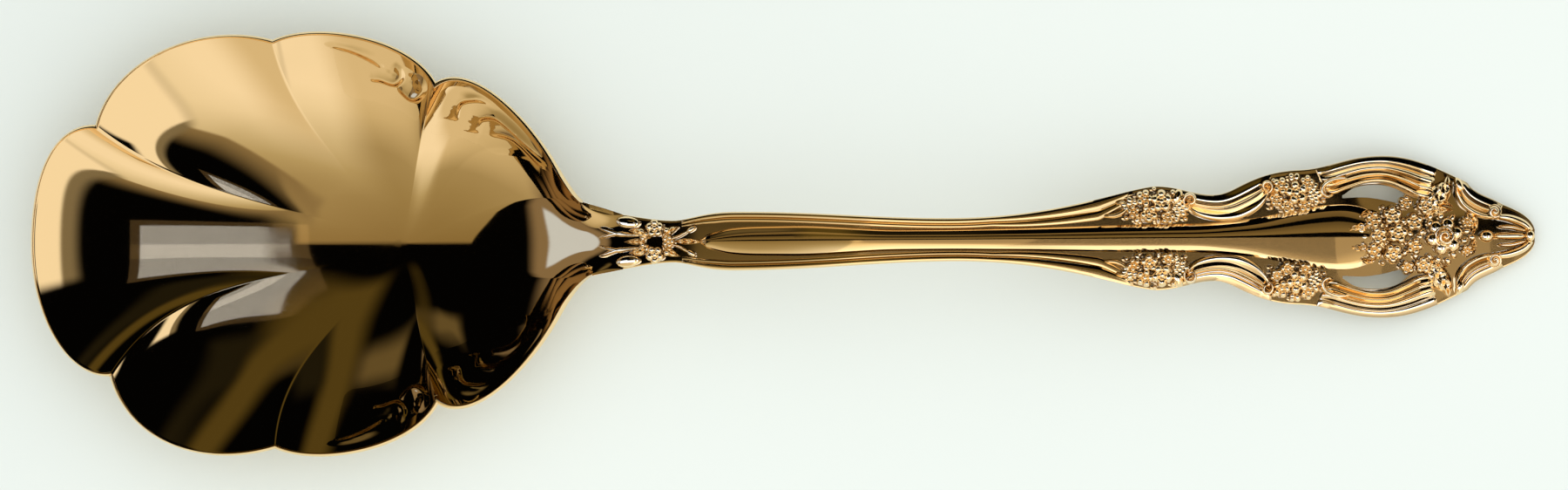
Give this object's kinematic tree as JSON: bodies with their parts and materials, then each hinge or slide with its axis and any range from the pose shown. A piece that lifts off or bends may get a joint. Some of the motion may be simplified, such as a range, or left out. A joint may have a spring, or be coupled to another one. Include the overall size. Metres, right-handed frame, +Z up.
{
  "type": "casserole spoon",
  "caption": "Large serving spoon with a scalloped shell bowl and an arched, pierced handle carrying scrolls and flower sprays, for serving casseroles and stews.",
  "frame": {"origin": "on the table plane under the middle of the spoon's length and width", "axes": "+X from the bowl to the end of the handle, +Y across, +Z up out of the bowl"},
  "size_m": [0.228, 0.064, 0.0195],
  "materials": {
    "bowl_gold": "mirror polished gold electroplate with fine wear scratches",
    "handle_gold": "polished gold electroplate, slightly wavy from striking",
    "ornament_gold": "polished gold electroplate with darker toned recesses"
  },
  "bodies": {
    "root": {"bowl": "bowl_gold", "handle_blank": "handle_gold", "centre_panel": "handle_gold", "border_rail_left": "handle_gold", "border_rail_right": "handle_gold", "waist_scroll_left": "ornament_gold", "waist_scroll_right": "ornament_gold", "frame_scroll_left": "ornament_gold", "frame_scroll_right": "ornament_gold", "tip_scroll_left": "ornament_gold", "tip_scroll_right": "ornament_gold", "tip_finial": "ornament_gold", "stem_spray_left": "ornament_gold", "stem_spray_right": "ornament_gold", "head_spray_left": "ornament_gold", "head_spray_right": "ornament_gold", "bouquet_rose": "ornament_gold", "bouquet_blossoms": "ornament_gold", "bouquet_leaves": "ornament_gold", "neck_blossoms": "ornament_gold", "neck_leaves": "ornament_gold", "rim_scroll_left": "ornament_gold", "rim_scroll_right": "ornament_gold", "shoulder_scroll_left": "ornament_gold", "shoulder_scroll_right": "ornament_gold"}
  },
  "joints": []
}
